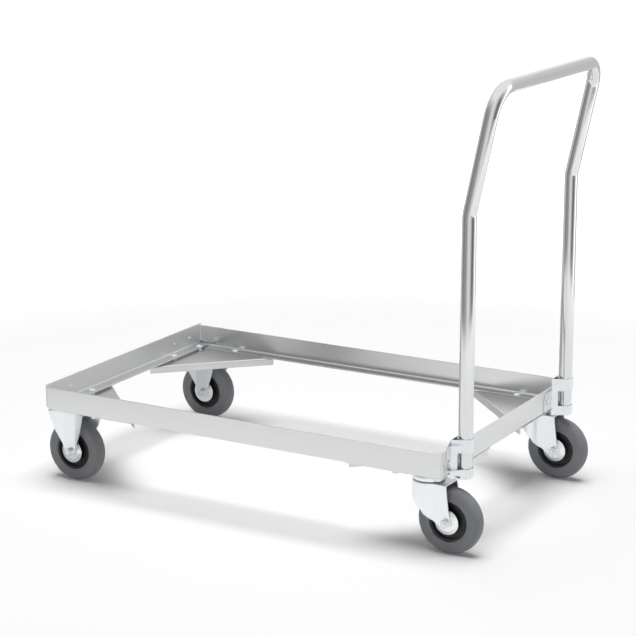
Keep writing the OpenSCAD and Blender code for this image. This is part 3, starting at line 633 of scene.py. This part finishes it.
# Puts a part on each point of a mesh, its own Z turned to an axis and spun at random
set_tree, given, gives = geometry_tree("parts_on_points", (
    ("Geometry", GEOMETRY, None), ("Part", OBJECT, None), ("Axis", VECTOR, (0, 0, 1)),
    ("Seed", INTEGER, 1), ("Material", MATERIAL, None)))
source = put(set_tree, "GeometryNodeObjectInfo", {"Object": given["Part"]}).outputs["Geometry"]
spin = put(set_tree, "FunctionNodeRandomValue", {3: math.pi, "Seed": given["Seed"]},
           data_type="FLOAT").outputs[1]
about = put(set_tree, "FunctionNodeAxisAngleToRotation", {"Axis": (0, 0, 1), "Angle": spin})
aimed = put(set_tree, "FunctionNodeAlignRotationToVector", {"Vector": given["Axis"]}, axis="Z")
both = put(set_tree, "FunctionNodeRotateRotation", {0: aimed, 1: about}, rotation_space="LOCAL")
laid = put(set_tree, "GeometryNodeInstanceOnPoints", {
    "Points": given["Geometry"], "Instance": source, "Rotation": both})
end_tree(set_tree, given, gives, laid)

fastener_zinc = metal("zinc_fasteners", (0.78, 0.79, 0.80), 0.24, streak=0.08, cloud=0.2,
                      cloud_size=60.0)


def placed(name, part, points, axis=(0, 0, 1), seed=1):
    """One object with the part on each of these points."""
    source = new_object(name + "_source", part)
    piece = grown(set_tree, name, {"Part": source, "Axis": axis, "Seed": seed,
                  "Material": fastener_zinc}, mesh_of(name + "_points", points))
    bpy.data.objects.remove(source)
    return piece


rails_low, rails_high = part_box("front_rail")[0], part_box("rear_rail")[1]
side_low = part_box("left_rail")[0].z
side_seat, end_seat, gusset_low = side_low + WALL, rails_low.z + WALL, side_low - WALL
heads, nuts = {}, []
for castor in CASTORS:
    front = castor.startswith("front")
    sx, x = (1, rails_low.x) if front else (-1, rails_high.x)
    sy, y = (1, rails_low.y) if castor.endswith("left") else (-1, rails_high.y)
    # A front corner's bolt goes through the fork's top as well
    corner, under = (FRONT_CORNER, gusset_low - WALL) if front else (REAR_CORNER, gusset_low)
    for (dx, dy), seat, nut_z in ((corner, end_seat, under), (SIDE_BOLT, side_seat, gusset_low),
                                  (END_BOLT, end_seat, gusset_low)):
        px, py = x + sx * dx, y + sy * dy
        heads.setdefault(round(seat - nut_z, 5), []).append((px, py, seat))
        nuts.append((px, py, nut_z - NUT_H))
bolts = [placed(f"bolts_{grip}", bolt("frame_bolt", HEAD_D, HEAD_H, BOLT_D,
                grip + NUT_H + BOLT_TAIL, NUT_H + BOLT_TAIL + THREAD_OVER), points)
         for grip, points in sorted(heads.items())]
belongs(joined("domed_frame_bolts", bolts), "frame", "frame_bolts")
nut = hexagon("frame_nut", NUT_WIDE, NUT_H, BOLT_D - NUT_BITE)
belongs(placed("frame_bolt_nuts", nut, nuts, seed=3), "frame", "frame_nuts")
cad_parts["flange_spacers"].data.materials[0] = fastener_zinc

# Swivel heads: a pressed bowl over the upper ball race, a kingpin riveted over the gusset
# with the lower race's cup, and two rings of balls.
BALL_R = 0.0032
ring_tree, given, gives = geometry_tree("ring_of_balls", (
    ("Balls", INTEGER, 14), ("Ring Radius", FLOAT, 0.023), ("Ball Radius", FLOAT, BALL_R),
    ("Middle", VECTOR, (0, 0, 0)), ("Material", MATERIAL, None)))
circle = put(ring_tree, "GeometryNodeMeshCircle", {
    "Vertices": given["Balls"], "Radius": given["Ring Radius"]})
ball = put(ring_tree, "GeometryNodeMeshUVSphere", {
    "Segments": 24, "Rings": 16, "Radius": given["Ball Radius"]})
laid = put(ring_tree, "GeometryNodeInstanceOnPoints", {"Points": circle, "Instance": ball})
moved = put(ring_tree, "GeometryNodeTransform", {"Geometry": laid, "Translation": given["Middle"]})
end_tree(ring_tree, given, gives, moved)

bright_steel = metal("ground_steel", (0.72, 0.73, 0.74), 0.16, streak=0.05, cloud=0.08,
                     cloud_size=80.0)
for castor in ("rear_left", "rear_right"):
    low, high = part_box(f"{castor}_balls")
    pin = middle(f"{castor}_balls")
    rows = [grown(ring_tree, f"{castor}_row_{row}", {
        "Middle": (pin.x, pin.y, z), "Ring Radius": (high.x - low.x) / 2 - BALL_R,
        "Ball Radius": BALL_R, "Material": bright_steel})
        for row, z in enumerate((low.z + BALL_R, high.z - BALL_R))]
    belongs(joined(f"{castor}_ball_rings", rows), "frame", f"{castor}_balls")
    finished(f"{castor}_bowl", f"{castor}_race_bowl", "frame", fork_zinc, PRESSED_EASE)
    finished(f"{castor}_kingpin", f"{castor}_swivel_pin", "frame", bright_steel,
             CUT_EASE)

# Wheels: tyres of solid grey rubber with a lightly domed tread, round shoulders and a thin
# mould line, on rims of black moulded plastic. A bright roller bearing turns on the axle's tube.
CROWN = 0.0009
SHOULDER_R = 0.0095
FLANK_IN, FLANK_END = 0.0003, 0.001
LIP_R, LIP_OUT, LIP_FLAT = 0.002, 0.0002, 0.001
SEAT_DEEP = 0.0018
GROOVE_WIDE, GROOVE_DEEP = 0.0004, 0.0005
LINE_RISE, LINE_FOOT, LINE_TOP = 0.00002, 0.0007, 0.0003
MOULDED_TOOTH = 0.0003
moulded_grain, given, gives = group("moulded_grain", (
    ("Vector", VECTOR, (0, 0, 0)), ("Grain Size", FLOAT, 900.0), ("Dust Size", FLOAT, 35.0),
    ("Dust Amount", FLOAT, 0.1), ("Roughness", FLOAT, 0.6)), MARKS)
grains = noise(moulded_grain, given["Vector"], given["Grain Size"], 2.0)
dust = noise(moulded_grain, given["Vector"], given["Dust Size"], 4.0, 0.6)
veil = swing(moulded_grain, dust, given["Dust Amount"])
fill(moulded_grain, gives, {
    "Shade": maths(moulded_grain, "ADD", 1.0, veil),
    "Roughness": maths(moulded_grain, "ADD", given["Roughness"], veil), "Height": grains})


def moulding(name, colour, roughness, dust, tooth, specular):
    """Moulded rubber or plastic with a fine grain under a thin veil of dust."""
    material, tree = empty_material(name)
    marks = put(tree, "ShaderNodeGroup", {
        "Vector": spot(tree), "Dust Amount": dust, "Roughness": roughness},
        node_tree=moulded_grain).outputs
    surface(tree, marks, colour, tooth, MOULDED_TOOTH, {"Specular IOR Level": specular})
    return material


tyre_rubber = moulding("grey_tyre_rubber", (0.258, 0.265, 0.282), 0.6, dust=0.25, tooth=0.15,
                       specular=0.3)
rim_plastic = moulding("black_rim_plastic", (0.012, 0.012, 0.013), 0.42, dust=0.1, tooth=0.1,
                       specular=0.4)
ALONG_Y = Matrix.Rotation(math.radians(90), 4, "X")
for castor in CASTORS:
    low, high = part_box(f"{castor}_tyre")
    radius, half = (high.x - low.x) / 2, (high.y - low.y) / 2
    rim_low, rim_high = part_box(f"{castor}_rim")
    seat = (rim_high.x - rim_low.x) / 2
    # From the rim's seat over a round lip, down the flank, round the shoulder, to the middle
    lip, bend, flank = seat + LIP_OUT + LIP_R, radius - CROWN - SHOULDER_R, half - FLANK_IN
    right = [(seat, half - SEAT_DEEP)] + arc(lip, half - LIP_R, LIP_R, 180, 90, 4)[1:]
    right += [(lip + LIP_FLAT, half), (lip + LIP_FLAT + GROOVE_WIDE, half - GROOVE_DEEP)]
    right += [(bend - FLANK_END, flank)]
    right += arc(bend, flank - SHOULDER_R, SHOULDER_R, 88, 8, 12)
    right += [(radius - CROWN * share ** 2, (flank - SHOULDER_R) * share)
              for share in (0.9, 0.6, 0.3)]
    right += [(radius - LINE_RISE, LINE_FOOT), (radius, LINE_TOP)]
    profile = right + [(r, -y) for r, y in reversed(right)]
    mesh = turned(f"{castor}_tyre_rubber", profile[::-1], steps=128, sharp=40, closed=True)
    mesh.transform(Matrix.Translation(middle(f"{castor}_tyre")) @ ALONG_Y)
    tyre = new_object(f"{castor}_solid_tyre", mesh, [tyre_rubber])
    belongs(tyre, f"{castor}_wheel", f"{castor}_tyre")
    finished(f"{castor}_rim", f"{castor}_moulded_rim", f"{castor}_wheel", rim_plastic,
             PRESSED_EASE)
    for node in ("bearing", "axle_tube"):
        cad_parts[f"{castor}_{node}"].data.materials[0] = bright_steel

# Axles: pressed zinc plated discs that keep thread out of the hubs, a hexagon bolt through
# the fork's eyes and a nut on its end.
THIN_EASE = 0.0004
HEX_WIDE, HEX_H = 0.016, 0.007
AXLE_D = 0.010
AXLE_DOME_D, AXLE_DOME = 0.0096, 0.0008
AXLE_THREAD = 0.012
bright_zinc = metal("zinc_guards", (0.90, 0.915, 0.93), 0.27, streak=0.04, cloud=0.1,
                    cloud_size=40.0)
for castor in CASTORS:
    body = "frame" if castor.startswith("front") else f"{castor}_swivel"
    finished(f"{castor}_guards", f"{castor}_thread_guards", body, bright_zinc, THIN_EASE)
    low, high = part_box(f"{castor}_axle_bolt")
    axle = middle(f"{castor}_tyre")
    end_y = high.y - AXLE_DOME
    head = placed(f"{castor}_hex_head", hexagon("axle_head", HEX_WIDE, HEX_H, AXLE_D - NUT_BITE),
                  [(axle.x, high.y - HEX_H, axle.z)], (0, 1, 0))
    shank = placed(f"{castor}_shank", bolt("axle_shank", AXLE_DOME_D, AXLE_DOME, AXLE_D,
                   end_y - low.y, AXLE_THREAD), [(axle.x, end_y, axle.z)], (0, 1, 0))
    screw = joined(f"{castor}_axle_screw", [head, shank])
    belongs(screw, body, f"{castor}_axle_bolt")
    nut = placed(f"{castor}_hex_nut", hexagon("axle_nut", HEX_WIDE, HEX_H, AXLE_D - NUT_BITE),
                 [(axle.x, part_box(f"{castor}_axle_nut")[0].y, axle.z)], (0, 1, 0))
    belongs(nut, body, f"{castor}_axle_nut")

# Handle sockets: pressed zinc plated sheet, a plate on the rear rail with straps round
# the tube, held by low domed screws with nuts inside the rail.
TUBE_R = 0.014
SCREW_D, SCREW_HEAD, SCREW_RISE = 0.006, 0.011, 0.003
SCREW_THREAD = 0.007
SCREW_NUT_WIDE, SCREW_NUT_H = 0.010, 0.005
# Where a socket's two screws stand, outwards from the middle of its leg
SCREWS_OUT = (0.035, -0.049)
socket_zinc = metal("zinc_sockets", (0.80, 0.82, 0.845), 0.27, (1, 1, 0.2), streak=0.06,
                    cloud=0.12, streak_size=600.0, cloud_size=20.0)
for side in ("left", "right"):
    finished(f"{side}_handle_socket", f"{side}_tube_socket", "frame", socket_zinc,
             THIN_EASE)
handle_low, handle_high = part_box("handle")
leg_y = handle_high.y - TUBE_R
screws_low, screws_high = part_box("socket_screws")
screw_x, screw_z = screws_high.x - SCREW_RISE, middle("socket_screws").z
nut_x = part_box("socket_nuts")[0].x
across = [sign * (leg_y + out) for sign in (-1, 1) for out in SCREWS_OUT]
screw = bolt("socket_screw", SCREW_HEAD, SCREW_RISE, SCREW_D, screw_x - screws_low.x, SCREW_THREAD)
screws = placed("socket_screws_domed", screw, [(screw_x, y, screw_z) for y in across],
                (1, 0, 0), seed=5)
belongs(screws, "frame", "socket_screws")
nut = hexagon("socket_nut", SCREW_NUT_WIDE, SCREW_NUT_H, SCREW_D - NUT_BITE)
nuts = placed("socket_screw_nuts", nut, [(nut_x, y, screw_z) for y in across], (1, 0, 0), seed=7)
belongs(nuts, "frame", "socket_nuts")

# Handle: one zinc plated tube. Two legs stand in the sockets, each has a slight bend,
# and round corners lead to the grip bar.
TUBE_WALL = 0.0015
TUBE_EASED = math.radians(50)
SKIN_IN = 0.00004
BEND_Z = 0.645
BEND_R = 0.080
SLANT = 12
SLOPE = 0.180
CORNER_R = 0.052
LEG_STEPS, BEND_STEPS, SLOPE_STEPS, CORNER_STEPS, GRIP_STEPS = 12, 8, 6, 16, 8


def stored(tree, shape, name, value, kind):
    return put(tree, "GeometryNodeStoreNamedAttribute", {
        "Geometry": shape, "Name": name, "Value": value}, data_type=kind, domain="POINT")


def recalled(tree, name, kind):
    return put(tree, "GeometryNodeInputNamedAttribute", {"Name": name}, data_type=kind)


# Lays a tube along a path, and keeps how its surface unrolls for the drawn grain
tube_tree, given, gives = geometry_tree("bent_tube", (
    ("Path", OBJECT, None), ("Tube Radius", FLOAT, TUBE_R), ("Sides", INTEGER, 64),
    ("Material", MATERIAL, None)))
path = put(tube_tree, "GeometryNodeObjectInfo", {"Object": given["Path"]}).outputs["Geometry"]
curve = put(tube_tree, "GeometryNodeMeshToCurve", {"Mesh": path})
length = put(tube_tree, "GeometryNodeSplineParameter").outputs["Length"]
curve = stored(tube_tree, curve, "tube_length", length, "FLOAT")
ring = put(tube_tree, "GeometryNodeCurvePrimitiveCircle", {
    "Resolution": given["Sides"], "Radius": given["Tube Radius"]})
ring = stored(tube_tree, ring, "tube_round", put(tube_tree, "GeometryNodeInputPosition"),
              "FLOAT_VECTOR")
skin = put(tube_tree, "GeometryNodeCurveToMesh", {"Curve": curve, "Profile Curve": ring})
around = put(tube_tree, "ShaderNodeSeparateXYZ", {
    0: recalled(tube_tree, "tube_round", "FLOAT_VECTOR")}).outputs
lay = put(tube_tree, "ShaderNodeCombineXYZ", {
    "X": around["X"], "Y": around["Y"], "Z": recalled(tube_tree, "tube_length", "FLOAT")})
end_tree(tube_tree, given, gives, stored(tube_tree, skin, "tube_lay", lay, "FLOAT_VECTOR"))

# The route: up a leg, through its bend, up the slope, round the corner and to the middle
leg_x, foot_z = handle_low.x + TUBE_R, handle_low.z
line = [(leg_x, foot_z + (BEND_Z - foot_z) * i / LEG_STEPS) for i in range(LEG_STEPS)]
line += arc(leg_x + BEND_R, BEND_Z, BEND_R, 180, 180 - SLANT, BEND_STEPS)
bend_x, bend_z = line[-1]
up_x, up_z = math.sin(math.radians(SLANT)), math.cos(math.radians(SLANT))
line += [(bend_x + up_x * SLOPE * i / SLOPE_STEPS, bend_z + up_z * SLOPE * i / SLOPE_STEPS)
         for i in range(1, SLOPE_STEPS + 1)]
top_x, top_z = line[-1]
half = [(x, leg_y, z) for x, z in line]
half += [(top_x + up_x * rise, y, top_z + up_z * rise)
         for y, rise in arc(leg_y - CORNER_R, 0, CORNER_R, 0, 90, CORNER_STEPS)[1:]]
grip_x, grip_y, grip_z = half[-1]
half += [(grip_x, grip_y * (1 - i / GRIP_STEPS), grip_z) for i in range(1, GRIP_STEPS)]
route = half + [(grip_x, 0, grip_z)] + [(x, -y, z) for x, y, z in reversed(half)]
links = [(i, i + 1) for i in range(len(route) - 1)]
guide = new_object("handle_route", mesh_of("handle_route", route, links))
handle_zinc = metal("zinc_handle_tube", (0.74, 0.745, 0.75), 0.11, (1, 1, 0.012), streak=0.06,
                    cloud=0.03, streak_size=700.0, cloud_size=20.0, tooth=0.02,
                    attribute="tube_lay")
tube = grown(tube_tree, "bent_handle_tube", {
    "Path": guide, "Tube Radius": TUBE_R - SKIN_IN, "Material": handle_zinc})
bpy.data.objects.remove(guide)
work = bmesh.new()
work.from_mesh(tube.data)
bmesh.ops.recalc_face_normals(work, faces=work.faces)
work.to_mesh(tube.data)
work.free()
wall = tube.modifiers.new("wall", "SOLIDIFY")
wall.thickness = TUBE_WALL
wall.offset = -1
round_edges(tube, THIN_EASE, TUBE_EASED)
belongs(tube, "handle", "handle")
